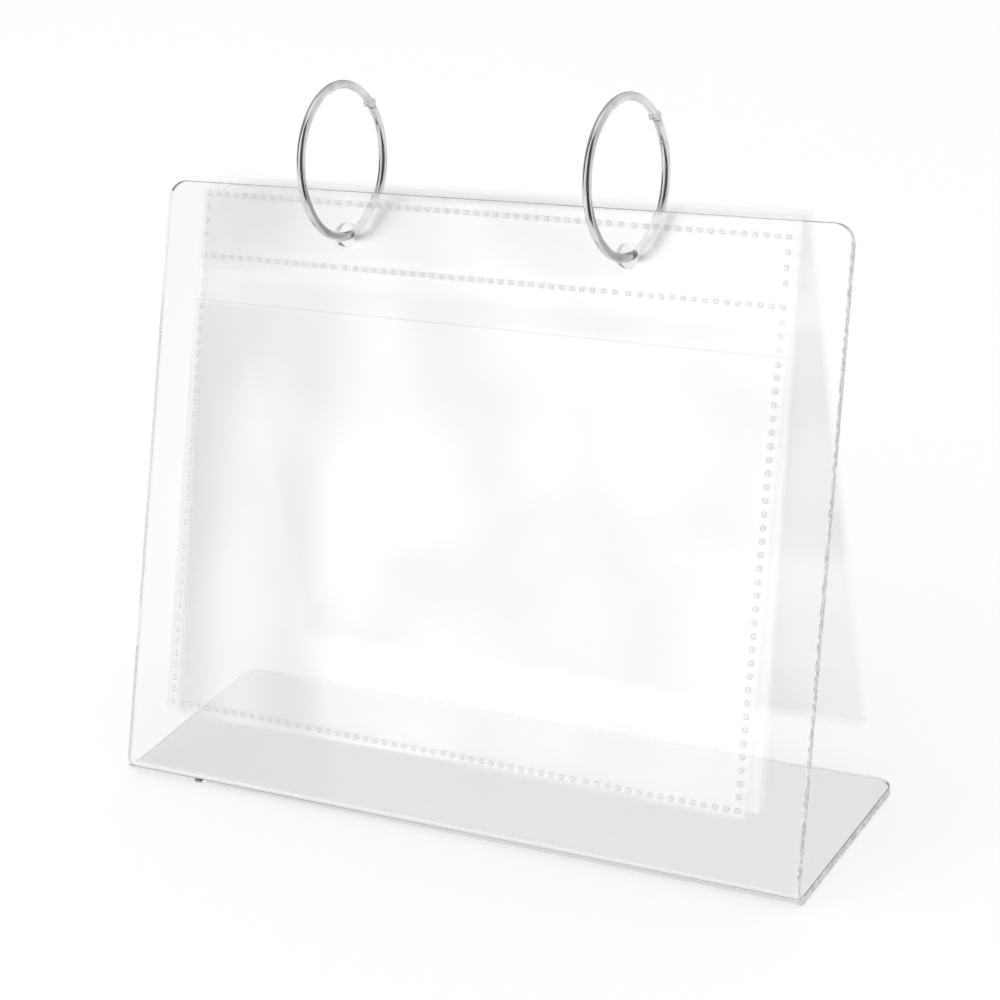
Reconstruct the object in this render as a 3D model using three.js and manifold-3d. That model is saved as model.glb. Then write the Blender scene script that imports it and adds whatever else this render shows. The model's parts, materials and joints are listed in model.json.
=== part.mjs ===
import * as THREE from 'three';
import { mergeVertices } from 'three/addons/utils/BufferGeometryUtils.js';
import Module from 'manifold-3d';

const wasm = await Module();
wasm.setup();

// All sizes are in millimetres and degrees, with +Z up and the front towards -Y

// Stand: one clear sheet, bent once into a leaning panel and a foot
const standWidth = 194;
const panelHeight = 157;
const panelLean = 24;
const baseDepth = 57;
const sheetThickness = 2;
const innerBendRadius = 1.5;
const panelCornerRadius = 5;
const baseCornerRadius = 4.5;

// Holes that carry the two rings
const ringSpacing = 80;
const panelHoleDiameter = 6;
const panelHoleBelowTop = 10.8;

// Rings, hinged at the back and clasped at the front
const ringInnerDiameter = 35;
const wireDiameter = 2.2;
const ringForward = 4.9;
const ringSideways = 1.3;
const wireAboveHole = 0.3;
const leftRingYaw = 2.4;
const hingeAngle = 30;
const eyeDiameter = 2.6;
const rivetDiameter = 1;
const claspLength = 2.4;

// Clearances of the ring's own pieces
const halfGap = 0.3;
const rivetClearance = 0.1;
const eyeClearance = 0.3;
const claspEndGap = 0.15;

// Pocket sleeves, welded from thin film
const sleeveWidth = 167.4;
const sleeveHeight = 134.3;
const punchBelowTop = 10.3;
const punchDiameter = 5.5;
const filmThickness = 0.15;
const pocketGap = 0.2;
const sleeveGap = 0.2;
const stripHeight = 19.3;
const mouthBelowTop = 28.6;
const filmCornerRadius = 1;
const panelGap = 0.3;

// How each sleeve hangs on the rings: sideways, drop below the wire, and swing in its own plane
const frontHang = [
  { sideways: -0.4, drop: 0.35, swing: -1 },
  { sideways: 0.3, drop: 0.6, swing: 0.6 },
  { sideways: 0.5, drop: 0.3, swing: 1.2 },
  { sideways: 0.4, drop: 0.5, swing: 0.8 },
  { sideways: 0, drop: 0.7, swing: -0.4 },
];
const backHang = [
  { sideways: -0.7, drop: 0.9, swing: 0 },
  { sideways: -0.4, drop: 0.8, swing: 0.3 },
  { sideways: -0.8, drop: 0.9, swing: -0.2 },
  { sideways: -0.5, drop: 0.7, swing: 0.2 },
  { sideways: -0.3, drop: 0.5, swing: 0 },
];

// Facets
const arcSteps = 8;
const wireSides = 12;
const wireSteps = 32;
const holeSides = 24;
const cutOver = 1;

// Places that follow from the sizes
const lean = THREE.MathUtils.degToRad(panelLean);
const panelTilt = Math.PI / 2 - lean;
const upright = Math.PI / 2;
const outerBendRadius = innerBendRadius + sheetThickness;
const bendReach = outerBendRadius / Math.tan(panelTilt / 2);
const footMiddle = (bendReach + baseDepth) / 2;
const wireRadius = wireDiameter / 2;
const ringRadius = ringInnerDiameter / 2 + wireRadius;
const claspAngle = hingeAngle + 180;
const panelHoleHeight = panelHeight - panelHoleBelowTop;
const ringHeight = panelHoleHeight + wireAboveHole + chordReach(ringForward + sheetThickness / 2);
const ringCentre = onPanel(ringHeight, ringForward);
const panelTopBack = onPanel(panelHeight, -sheetThickness);
const sleeveThickness = 2 * filmThickness + pocketGap;
const sleevePitch = sleeveThickness + sleeveGap;
const frontDepth = ringForward - panelGap - sleeveThickness / 2;
const backDepth = panelTopBack.y - ringCentre.y + panelGap + sleeveThickness / 2;

function chordReach(offset) {
  return Math.sqrt(ringRadius ** 2 - offset ** 2);
}

// A point at a height along the panel's front face and a distance in front of it
function onPanel(height, forward) {
  return {
    y: height * Math.sin(lean) - forward * Math.cos(lean),
    z: height * Math.cos(lean) + forward * Math.sin(lean),
  };
}

function toSolid(geometry) {
  const bare = geometry.clone();
  bare.deleteAttribute('normal');
  bare.deleteAttribute('uv');
  const merged = mergeVertices(bare);
  return new wasm.Manifold(new wasm.Mesh({
    numProp: 3,
    vertProperties: merged.attributes.position.array,
    triVerts: Uint32Array.from(merged.index.array),
  }));
}

function toGeometry(solid) {
  const mesh = solid.getMesh();
  const geometry = new THREE.BufferGeometry();
  geometry.setAttribute('position', new THREE.BufferAttribute(mesh.vertProperties, 3));
  geometry.setIndex(new THREE.BufferAttribute(mesh.triVerts, 1));
  geometry.computeVertexNormals();
  return geometry;
}

function extrude(shape, depth) {
  return new THREE.ExtrudeGeometry(shape, { depth, bevelEnabled: false, curveSegments: arcSteps });
}

function acrylic() {
  return new THREE.MeshStandardMaterial({
    color: 0xf1f4f5, roughness: 0.05, metalness: 0, transparent: true, opacity: 0.35,
  });
}

function film() {
  return new THREE.MeshStandardMaterial({
    color: 0xf4f4f3, roughness: 0.3, metalness: 0, transparent: true, opacity: 0.4,
  });
}

function chrome() {
  return new THREE.MeshStandardMaterial({ color: 0xc9cacd, roughness: 0.12, metalness: 1 });
}

function addMesh(parent, name, geometry, material) {
  const mesh = new THREE.Mesh(geometry, material);
  mesh.name = name;
  parent.add(mesh);
  return mesh;
}

// What is cut off a corner of a sheet to round it; side is 1 on the right and -1 on the left
function cornerWaste(side, edge, radius) {
  const right = standWidth / 2;
  const shape = new THREE.Shape();
  shape.moveTo(side * (right + cutOver), edge - radius);
  for (let step = 0; step <= arcSteps; step += 1) {
    const turn = (Math.PI / 2) * (step / arcSteps);
    shape.lineTo(side * (right - radius + radius * Math.cos(turn)), edge - radius + radius * Math.sin(turn));
  }
  shape.lineTo(side * (right - radius), edge + cutOver);
  shape.lineTo(side * (right + cutOver), edge + cutOver);
  shape.closePath();
  const waste = extrude(shape, sheetThickness + 2 * cutOver);
  waste.translate(0, 0, -sheetThickness - cutOver);
  return waste;
}

function standSection() {
  const faceTurn = Math.PI - lean;
  const top = onPanel(panelHeight, 0);
  const shape = new THREE.Shape();
  shape.moveTo(baseDepth, 0);
  shape.lineTo(bendReach, 0);
  shape.absarc(bendReach, outerBendRadius, outerBendRadius, 1.5 * Math.PI, faceTurn, true);
  shape.lineTo(top.y, top.z);
  shape.lineTo(panelTopBack.y, panelTopBack.z);
  shape.absarc(bendReach, outerBendRadius, innerBendRadius, faceTurn, 1.5 * Math.PI, false);
  shape.lineTo(baseDepth, sheetThickness);
  shape.closePath();
  return shape;
}

function standGeometry() {
  const sheet = extrude(standSection(), standWidth);
  const alongWidth = new THREE.Matrix4().makeBasis(
    new THREE.Vector3(0, 1, 0),
    new THREE.Vector3(0, 0, 1),
    new THREE.Vector3(1, 0, 0),
  );
  sheet.applyMatrix4(alongWidth);
  sheet.translate(-standWidth / 2, 0, 0);
  let solid = toSolid(sheet);
  for (const side of [-1, 1]) {
    const panelWaste = cornerWaste(side, panelHeight, panelCornerRadius).rotateX(panelTilt);
    const baseWaste = cornerWaste(side, baseDepth, baseCornerRadius).translate(0, 0, sheetThickness);
    const hole = new THREE.CylinderGeometry(
      panelHoleDiameter / 2,
      panelHoleDiameter / 2,
      sheetThickness + 2 * cutOver,
      holeSides,
    );
    hole.rotateX(Math.PI / 2);
    hole.translate((side * ringSpacing) / 2, panelHoleHeight, -sheetThickness / 2);
    hole.rotateX(panelTilt);
    solid = solid.subtract(toSolid(panelWaste)).subtract(toSolid(baseWaste)).subtract(toSolid(hole));
  }
  return toGeometry(solid);
}

// The wire's centre line: angles start at the back and pass the top
class RingArc extends THREE.Curve {
  constructor(from, to) {
    super();
    this.from = THREE.MathUtils.degToRad(from);
    this.to = THREE.MathUtils.degToRad(to);
  }

  getPoint(share, target = new THREE.Vector3()) {
    const turn = this.from + (this.to - this.from) * share;
    return target.set(0, ringRadius * Math.cos(turn), ringRadius * Math.sin(turn));
  }
}

function wire(from, to) {
  const rim = [];
  for (let side = 0; side < wireSides; side += 1) {
    const turn = (2 * Math.PI * side) / wireSides;
    rim.push(new THREE.Vector2(wireRadius * Math.cos(turn), wireRadius * Math.sin(turn)));
  }
  return toSolid(new THREE.ExtrudeGeometry(new THREE.Shape(rim), {
    steps: wireSteps, bevelEnabled: false, extrudePath: new RingArc(from, to),
  }));
}

// Turns a geometry to an angle of the ring and puts it on the wire's centre line
function placeOnRing(geometry, angle) {
  geometry.rotateX(THREE.MathUtils.degToRad(angle));
  const point = new RingArc(angle, angle).getPoint(0);
  geometry.translate(point.x, point.y, point.z);
  return toSolid(geometry);
}

// A disc across the hinge, from the middle gap outwards; side is the half that it lies on
function hingeDisc(radius, side, inner, outer) {
  const disc = new THREE.CylinderGeometry(radius, radius, outer - inner, holeSides);
  disc.rotateZ(Math.PI / 2);
  disc.translate((side * (inner + outer)) / 2, 0, 0);
  return placeOnRing(disc, hingeAngle);
}

function claspStep(side, shift) {
  const deep = wireDiameter + cutOver;
  const step = new THREE.BoxGeometry(deep, 2 * deep, claspLength);
  step.translate((side * deep) / 2 - (side * halfGap) / 2, 0, shift);
  return placeOnRing(step, claspAngle);
}

// One half of a ring: side is where its eye and clasp tongue lie, -1 below and 1 above
function ringHalfGeometry(side) {
  const endTurn = THREE.MathUtils.radToDeg((claspLength / 2 - claspEndGap) / ringRadius);
  const turns = side < 0 ? [claspAngle - endTurn, hingeAngle + 360] : [hingeAngle, claspAngle + endTurn];
  const eye = hingeDisc(eyeDiameter / 2, side, halfGap / 2, wireRadius);
  const otherEye = hingeDisc(eyeDiameter / 2 + eyeClearance, -side, -halfGap / 2, wireDiameter);
  const bore = hingeDisc(rivetDiameter / 2 + rivetClearance, side, -wireDiameter, wireDiameter);
  const half = wire(...turns).subtract(otherEye).add(eye).subtract(bore).subtract(claspStep(-side, 0));
  return toGeometry(half);
}

function addRing(parent, name, x, yaw) {
  const ring = new THREE.Group();
  ring.position.set(x, ringCentre.y, ringCentre.z);
  ring.rotation.z = THREE.MathUtils.degToRad(yaw);
  parent.add(ring);
  addMesh(ring, `${name}_lower_half`, ringHalfGeometry(-1), chrome());
  addMesh(ring, `${name}_upper_half`, ringHalfGeometry(1), chrome());
  const rivet = hingeDisc(rivetDiameter / 2, 1, -wireRadius, wireRadius);
  addMesh(ring, `${name}_hinge_rivet`, toGeometry(rivet), chrome());
}

// A sheet of film: its top and bottom are measured from the line of the punched holes
function filmGeometry(top, bottom, punched) {
  const right = sleeveWidth / 2;
  const shape = new THREE.Shape();
  shape.moveTo(right - filmCornerRadius, bottom);
  shape.lineTo(right, bottom + filmCornerRadius);
  shape.lineTo(right, top - filmCornerRadius);
  shape.lineTo(right - filmCornerRadius, top);
  shape.lineTo(filmCornerRadius - right, top);
  shape.lineTo(-right, top - filmCornerRadius);
  shape.lineTo(-right, bottom + filmCornerRadius);
  shape.lineTo(filmCornerRadius - right, bottom);
  shape.closePath();
  if (punched) {
    for (const side of [-1, 1]) {
      const punch = new THREE.Path();
      punch.absarc((side * ringSpacing) / 2, 0, punchDiameter / 2, 0, 2 * Math.PI, true);
      shape.holes.push(punch);
    }
  }
  return extrude(shape, filmThickness);
}

// The films of one sleeve, with the sleeve's middle plane at z = 0
function addSleeve(parent, name, hang, depth) {
  const sleeve = new THREE.Group();
  sleeve.position.set(ringSideways + hang.sideways, -chordReach(depth) - hang.drop, -depth);
  sleeve.rotation.z = THREE.MathUtils.degToRad(hang.swing);
  parent.add(sleeve);
  const top = punchBelowTop;
  const bottom = top - sleeveHeight;
  const backFilm = addMesh(sleeve, `${name}_back_film`, filmGeometry(top, bottom, true), film());
  backFilm.position.z = -sleeveThickness / 2;
  const strip = addMesh(sleeve, `${name}_binding_strip`, filmGeometry(top, top - stripHeight, true), film());
  strip.position.z = sleeveThickness / 2 - filmThickness;
  const pocket = filmGeometry(top - mouthBelowTop, bottom, false);
  addMesh(sleeve, `${name}_pocket_film`, pocket, film()).position.z = strip.position.z;
}

// A bundle of sleeves on the rings; the first lies next to the panel
function addBundle(parent, side, tilt, hangs, firstDepth, pitch) {
  const bundle = new THREE.Group();
  bundle.position.set(0, ringCentre.y, ringCentre.z);
  bundle.rotation.x = tilt;
  parent.add(bundle);
  hangs.forEach((hang, index) => {
    addSleeve(bundle, `${side}_sleeve_${index + 1}`, hang, firstDepth + index * pitch);
  });
}

const album = new THREE.Group();
album.position.y = -footMiddle;
addMesh(album, 'acrylic_stand', standGeometry(), acrylic());
addRing(album, 'ring_left', ringSideways - ringSpacing / 2, leftRingYaw);
addRing(album, 'ring_right', ringSideways + ringSpacing / 2, 0);
addBundle(album, 'front', panelTilt, frontHang, frontDepth, -sleevePitch);
addBundle(album, 'back', upright, backHang, backDepth, sleevePitch);

export default album;
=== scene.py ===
import json
import math

import bmesh
import bpy
import numpy as np
from mathutils import Matrix, Vector
from mathutils.geometry import delaunay_2d_cdt

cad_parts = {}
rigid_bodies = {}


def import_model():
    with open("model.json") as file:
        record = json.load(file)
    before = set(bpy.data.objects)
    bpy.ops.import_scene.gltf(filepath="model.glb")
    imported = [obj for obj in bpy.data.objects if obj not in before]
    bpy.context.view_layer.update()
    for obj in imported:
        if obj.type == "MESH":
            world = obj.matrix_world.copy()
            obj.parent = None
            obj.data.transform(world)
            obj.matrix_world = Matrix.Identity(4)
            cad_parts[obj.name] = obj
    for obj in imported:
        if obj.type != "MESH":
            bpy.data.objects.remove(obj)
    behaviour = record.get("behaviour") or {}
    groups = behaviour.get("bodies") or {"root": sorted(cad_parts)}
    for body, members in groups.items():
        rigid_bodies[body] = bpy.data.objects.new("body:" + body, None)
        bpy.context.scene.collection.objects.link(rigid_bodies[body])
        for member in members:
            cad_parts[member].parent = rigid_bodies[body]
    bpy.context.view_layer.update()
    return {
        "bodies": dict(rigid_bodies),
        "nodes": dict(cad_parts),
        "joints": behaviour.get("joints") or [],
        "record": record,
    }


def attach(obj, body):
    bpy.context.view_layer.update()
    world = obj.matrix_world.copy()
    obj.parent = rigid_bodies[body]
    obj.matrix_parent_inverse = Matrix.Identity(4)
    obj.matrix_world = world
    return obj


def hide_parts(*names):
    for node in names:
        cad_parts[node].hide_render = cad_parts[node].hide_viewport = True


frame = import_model()
mm = 0.001
print("frame loaded:", len(frame["nodes"]), "nodes")

# camera, at the angle of the photograph
cameraView = {
    "place": (0.35839, -0.495471, 0.366793),
    "right": (0.84911, 0.50793, -0.14502),
    "up": (-0.11021, 0.43885, 0.89178),
    "lens": 100.86,
    "sensor": 36.0,
    "near": 0.01,
    "far": 50,
}


def addCamera(view):
    data = bpy.data.cameras.new("camera")
    data.sensor_fit = "HORIZONTAL"
    data.sensor_width = view["sensor"]
    data.lens = view["lens"]
    data.clip_start = view["near"]
    data.clip_end = view["far"]
    camera = bpy.data.objects.new("camera", data)
    bpy.context.scene.collection.objects.link(camera)
    right = Vector(view["right"]).normalized()
    up = Vector(view["up"])
    up = (up - right * up.dot(right)).normalized()
    turn = Matrix((right, up, right.cross(up))).transposed()
    camera.matrix_world = Matrix.Translation(Vector(view["place"])) @ turn.to_4x4()
    bpy.context.scene.camera = camera


addCamera(cameraView)
print("camera ready")


# small helpers for nodes
def addNode(tree, kind, at=(0, 0), **values):
    node = tree.nodes.new(kind)
    node.location = at
    for key, value in values.items():
        setattr(node, key, value)
    return node


def setInputs(node, **values):
    for key, value in values.items():
        node.inputs[key.replace("_", " ")].default_value = value
    return node


def mathNode(tree, operation, first, second=None, clamp=False):
    node = addNode(tree, "ShaderNodeMath", operation=operation, use_clamp=clamp)
    for slot, value in enumerate((first, second)):
        if value is None:
            continue
        if isinstance(value, (int, float)):
            node.inputs[slot].default_value = value
        else:
            tree.links.new(value, node.inputs[slot])
    return node.outputs[0]


def rangeNode(tree, value, low, high, outLow=0.0, outHigh=1.0, smooth=True):
    node = addNode(tree, "ShaderNodeMapRange", interpolation_type="SMOOTHSTEP" if smooth else "LINEAR")
    tree.links.new(value, node.inputs["Value"])
    for key, number in (("From Min", low), ("From Max", high), ("To Min", outLow), ("To Max", outHigh)):
        if isinstance(number, (int, float)):
            node.inputs[key].default_value = number
        else:
            tree.links.new(number, node.inputs[key])
    return node.outputs["Result"]


def newGroup(name, inputs, outputs):
    group = bpy.data.node_groups.new(name, "ShaderNodeTree")
    for label, kind, value in inputs:
        socket = group.interface.new_socket(name=label, in_out="INPUT", socket_type=kind)
        socket.default_value = value
    for label, kind in outputs:
        group.interface.new_socket(name=label, in_out="OUTPUT", socket_type=kind)
    start = addNode(group, "NodeGroupInput", (-900, 0))
    end = addNode(group, "NodeGroupOutput", (700, 0))
    return group, start, end


def useGroup(tree, group, at=(0, 0), **values):
    node = addNode(tree, "ShaderNodeGroup", at, node_tree=group)
    for key, value in values.items():
        node.inputs[key.replace("_", " ")].default_value = value
    return node


def newMaterial(name):
    material = bpy.data.materials.new(name)
    material.use_nodes = True
    tree = material.node_tree
    tree.nodes.clear()
    output = addNode(tree, "ShaderNodeOutputMaterial", (900, 0))
    return material, tree, output


# shared effects
def makeSurfaceVariation():
    group, start, end = newGroup(
        "surfaceVariation",
        [("Scale", "NodeSocketFloat", 40.0), ("Detail", "NodeSocketFloat", 3.0),
         ("Low", "NodeSocketFloat", 0.0), ("High", "NodeSocketFloat", 1.0)],
        [("Value", "NodeSocketFloat")])
    place = addNode(group, "ShaderNodeTexCoord", (-900, 250))
    noise = addNode(group, "ShaderNodeTexNoise", (-500, 100))
    group.links.new(place.outputs["Object"], noise.inputs["Vector"])
    group.links.new(start.outputs["Scale"], noise.inputs["Scale"])
    group.links.new(start.outputs["Detail"], noise.inputs["Detail"])
    spread = rangeNode(group, noise.outputs[0], 0.3, 0.7, start.outputs["Low"], start.outputs["High"])
    group.links.new(spread, end.inputs["Value"])
    return group


def makeStretchedMarks():
    group, start, end = newGroup(
        "stretchedMarks",
        [("Stretch", "NodeSocketVector", (1.0, 1.0, 1.0)), ("Scale", "NodeSocketFloat", 200.0),
         ("Detail", "NodeSocketFloat", 2.0), ("Roughness", "NodeSocketFloat", 0.6)],
        [("Height", "NodeSocketFloat")])
    place = addNode(group, "ShaderNodeTexCoord", (-900, 250))
    stretch = addNode(group, "ShaderNodeVectorMath", (-700, 100), operation="MULTIPLY")
    group.links.new(place.outputs["Object"], stretch.inputs[0])
    group.links.new(start.outputs["Stretch"], stretch.inputs[1])
    noise = addNode(group, "ShaderNodeTexNoise", (-500, 100))
    group.links.new(stretch.outputs[0], noise.inputs["Vector"])
    group.links.new(start.outputs["Scale"], noise.inputs["Scale"])
    group.links.new(start.outputs["Detail"], noise.inputs["Detail"])
    group.links.new(start.outputs["Roughness"], noise.inputs["Roughness"])
    group.links.new(noise.outputs[0], end.inputs["Height"])
    return group


def makeStudioZone():
    group, start, end = newGroup(
        "studioZone",
        [("Azimuth", "NodeSocketFloat", 0.0), ("Elevation", "NodeSocketFloat", 0.0),
         ("Left", "NodeSocketFloat", -30.0), ("Right", "NodeSocketFloat", 30.0),
         ("Low", "NodeSocketFloat", 0.0), ("High", "NodeSocketFloat", 60.0),
         ("Edge", "NodeSocketFloat", 4.0)],
        [("Mask", "NodeSocketFloat")])
    out = None
    for value, low, high in (("Azimuth", "Left", "Right"), ("Elevation", "Low", "High")):
        middle = mathNode(group, "MULTIPLY", mathNode(group, "ADD", start.outputs[low], start.outputs[high]), 0.5)
        half = mathNode(group, "MULTIPLY", mathNode(group, "SUBTRACT", start.outputs[high], start.outputs[low]), 0.5)
        away = mathNode(group, "SUBTRACT", start.outputs[value], middle)
        if value == "Azimuth":
            away = mathNode(group, "PINGPONG", away, 180.0)
        away = mathNode(group, "ABSOLUTE", away)
        outer = mathNode(group, "ADD", half, start.outputs["Edge"])
        inner = mathNode(group, "SUBTRACT", half, start.outputs["Edge"])
        mask = rangeNode(group, away, outer, inner)
        out = mask if out is None else mathNode(group, "MULTIPLY", out, mask)
    group.links.new(out, end.inputs["Mask"])
    return group


surfaceVariation = makeSurfaceVariation()
stretchedMarks = makeStretchedMarks()
studioZone = makeStudioZone()

# clear acrylic: polished faces, and the sawn and flamed edge with painted shade where it faces up or down
acrylicLook = {
    "tint": (0.975, 0.98, 0.98, 1.0),
    "ior": 1.49,
    "patches": 60.0,
    "roughLow": 0.0,
    "roughHigh": 0.012,
    "shadowTint": (0.9, 0.905, 0.91, 1.0),
}
edgeLook = {
    "dark": (0.55, 0.56, 0.56, 1.0),
    "light": (0.9, 0.91, 0.91, 1.0),
    "top": (0.28, 0.285, 0.285, 1.0),       # painted shade: the dark colour where the edge faces up or down, as along the panel's top
    "clear": 0.15,
    "ior": 1.49,
    "patches": 300.0,
    "roughLow": 0.18,
    "roughHigh": 0.35,
    "sawStretch": (1.0, 1.6, 0.8),
    "sawScale": 800.0,
    "sawTones": (0.35, 0.65),       # marks below the first are dark, above the second light
    "sawDepth": 0.0001,
    "upOrDownShadeFrom": (0.6, 0.85),         # how far it has to face up or down for the painted shade
    "shadowTint": (0.7, 0.7, 0.7, 1.0),
}


def passLamps(tree, output, shell, shadowTint):
    # lamps shine through clear pieces instead of stopping at them
    path = addNode(tree, "ShaderNodeLightPath", (400, 500))
    clear = addNode(tree, "ShaderNodeBsdfTransparent", (400, 250))
    setInputs(clear, Color=shadowTint)
    mix = addNode(tree, "ShaderNodeMixShader", (650, 100))
    tree.links.new(path.outputs["Is Shadow Ray"], mix.inputs[0])
    tree.links.new(shell.outputs[0], mix.inputs[1])
    tree.links.new(clear.outputs[0], mix.inputs[2])
    tree.links.new(mix.outputs[0], output.inputs["Surface"])


def makeAcrylic(look):
    material, tree, output = newMaterial("clearAcrylic")
    shell = addNode(tree, "ShaderNodeBsdfPrincipled", (200, 100))
    setInputs(shell, Base_Color=look["tint"], Transmission_Weight=1.0, IOR=look["ior"])
    rough = useGroup(tree, surfaceVariation, (-300, 0), Scale=look["patches"],
                     Low=look["roughLow"], High=look["roughHigh"])
    tree.links.new(rough.outputs["Value"], shell.inputs["Roughness"])
    passLamps(tree, output, shell, look["shadowTint"])
    return material


def makeAcrylicEdge(look):
    material, tree, output = newMaterial("acrylicEdge")
    shell = addNode(tree, "ShaderNodeBsdfPrincipled", (200, 100))
    setInputs(shell, Transmission_Weight=look["clear"], IOR=look["ior"])
    rough = useGroup(tree, surfaceVariation, (-500, -50), Scale=look["patches"],
                     Low=look["roughLow"], High=look["roughHigh"])
    tree.links.new(rough.outputs["Value"], shell.inputs["Roughness"])
    marks = useGroup(tree, stretchedMarks, (-800, 200), Stretch=look["sawStretch"], Scale=look["sawScale"])
    tone = addNode(tree, "ShaderNodeMix", (-200, 200), data_type="RGBA")
    tone.inputs[6].default_value = look["dark"]
    tone.inputs[7].default_value = look["light"]
    tree.links.new(rangeNode(tree, marks.outputs["Height"], *look["sawTones"]), tone.inputs[0])
    shape = addNode(tree, "ShaderNodeNewGeometry", (-1000, 500))
    apart = addNode(tree, "ShaderNodeSeparateXYZ", (-800, 500))
    tree.links.new(shape.outputs["True Normal"], apart.inputs[0])
    # painted shade: the edge turns to the dark top colour where its true normal points up or down
    upOrDownShade = rangeNode(tree, mathNode(tree, "ABSOLUTE", apart.outputs["Z"]), *look["upOrDownShadeFrom"])
    upOrDownShaded = addNode(tree, "ShaderNodeMix", (100, 350), data_type="RGBA")
    upOrDownShaded.inputs[7].default_value = look["top"]
    tree.links.new(upOrDownShade, upOrDownShaded.inputs[0])
    tree.links.new(tone.outputs[2], upOrDownShaded.inputs[6])
    tree.links.new(upOrDownShaded.outputs[2], shell.inputs["Base Color"])
    bump = addNode(tree, "ShaderNodeBump", (-100, -300))
    setInputs(bump, Strength=1.0, Distance=look["sawDepth"])
    tree.links.new(marks.outputs["Height"], bump.inputs["Height"])
    tree.links.new(bump.outputs["Normal"], shell.inputs["Normal"])
    passLamps(tree, output, shell, look["shadowTint"])
    return material


clearAcrylic = makeAcrylic(acrylicLook)
acrylicEdge = makeAcrylicEdge(edgeLook)

# clear film, with painted grey shade at the weld ridges and the mouth's cut edge
filmLook = {
    "colour": (0.993, 0.995, 0.995, 1.0),
    "shine": 0.88,
    "reflect": {"front": 0.04, "back": 0.03},   # seen straight on; the back bundle's smaller share is painted light: it lightens that bundle where it mirrors the shaded floor under the object
    "grazing": 0.3,             # added where the film is seen edge on
    "grazingPower": 5.0,
    "weldHaze": 0.13,
    # painted shade: the grey that the weld mask lays on the film's colour
    "weldShadeColour": (0.55, 0.55, 0.55, 1.0),
    "patches": 35.0,
    "roughLow": 0.07,
    "roughHigh": 0.15,
    "weldRough": 0.12,
}


def makeFilm(look, bundle):
    material, tree, output = newMaterial(bundle + "Film")
    sheen = addNode(tree, "ShaderNodeBsdfPrincipled", (200, 0))
    setInputs(sheen, Metallic=look["shine"])
    rough = useGroup(tree, surfaceVariation, (-500, 0), Scale=look["patches"], Detail=0.0,
                     Low=look["roughLow"], High=look["roughHigh"])
    weldAndShade = addNode(tree, "ShaderNodeAttribute", (-900, 200), attribute_name="weldAndShade")
    # painted shade: the weld mask turns the film's colour grey at the weld ridges and the mouth's cut edge
    tone = addNode(tree, "ShaderNodeMix", (-100, 200), data_type="RGBA")
    tone.inputs[6].default_value = look["colour"]
    tone.inputs[7].default_value = look["weldShadeColour"]
    tree.links.new(weldAndShade.outputs["Fac"], tone.inputs[0])
    tree.links.new(tone.outputs[2], sheen.inputs["Base Color"])
    roughness = mathNode(tree, "ADD", rough.outputs["Value"],
                         mathNode(tree, "MULTIPLY", weldAndShade.outputs["Fac"], look["weldRough"]))
    tree.links.new(roughness, sheen.inputs["Roughness"])
    facing = addNode(tree, "ShaderNodeLayerWeight", (-900, 500))
    setInputs(facing, Blend=0.5)
    rise = mathNode(tree, "POWER", facing.outputs["Facing"], look["grazingPower"])
    factor = mathNode(tree, "ADD", mathNode(tree, "MULTIPLY", rise, look["grazing"]), look["reflect"][bundle])
    factor = mathNode(tree, "ADD", factor, mathNode(tree, "MULTIPLY", weldAndShade.outputs["Fac"], look["weldHaze"]))
    clear = addNode(tree, "ShaderNodeBsdfTransparent", (200, 250))
    mix = addNode(tree, "ShaderNodeMixShader", (650, 100))
    tree.links.new(factor, mix.inputs[0])
    tree.links.new(clear.outputs[0], mix.inputs[1])
    tree.links.new(sheen.outputs[0], mix.inputs[2])
    tree.links.new(mix.outputs[0], output.inputs["Surface"])
    return material


clearFilm = {bundle: makeFilm(filmLook, bundle) for bundle in ("front", "back")}

# bright nickel plate
wireLook = {
    "colourLow": (0.6, 0.6, 0.605),
    "colourHigh": (0.76, 0.76, 0.765),
    "colourPatches": 220.0,
    "roughLow": 0.02,
    "roughHigh": 0.06,
    "roughPatches": 500.0,
    "scratch": 0.000004,
    "scratchStretch": (3.0, 1.0, 1.0),
    "scratchScale": 900.0,
}


def makeWire(look):
    material, tree, output = newMaterial("nickelWire")
    metal = addNode(tree, "ShaderNodeBsdfPrincipled", (300, 0))
    setInputs(metal, Metallic=1.0)
    blend = useGroup(tree, surfaceVariation, (-500, 200), Scale=look["colourPatches"], Low=0.0, High=1.0)
    mix = addNode(tree, "ShaderNodeMix", (0, 200), data_type="RGBA")
    mix.inputs[6].default_value = (*look["colourLow"], 1.0)
    mix.inputs[7].default_value = (*look["colourHigh"], 1.0)
    tree.links.new(blend.outputs["Value"], mix.inputs[0])
    tree.links.new(mix.outputs[2], metal.inputs["Base Color"])
    rough = useGroup(tree, surfaceVariation, (-500, -50), Scale=look["roughPatches"],
                     Low=look["roughLow"], High=look["roughHigh"])
    tree.links.new(rough.outputs["Value"], metal.inputs["Roughness"])
    marks = useGroup(tree, stretchedMarks, (-500, -300), Stretch=look["scratchStretch"], Scale=look["scratchScale"])
    bump = addNode(tree, "ShaderNodeBump", (0, -300))
    setInputs(bump, Strength=1.0, Distance=look["scratch"])
    tree.links.new(marks.outputs["Height"], bump.inputs["Height"])
    tree.links.new(bump.outputs["Normal"], metal.inputs["Normal"])
    tree.links.new(metal.outputs[0], output.inputs["Surface"])
    return material


nickelWire = makeWire(wireLook)
print("materials ready")


# helpers for meshes
def newPiece(name, mesh, materials, body, replaced, smoothBelow=25):
    for material in materials:
        mesh.materials.append(material)
    mesh.shade_smooth()
    mesh.set_sharp_from_angle(angle=math.radians(smoothBelow))
    piece = bpy.data.objects.new(name, mesh)
    bpy.context.scene.collection.objects.link(piece)
    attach(piece, body)
    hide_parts(replaced)
    return piece


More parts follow.
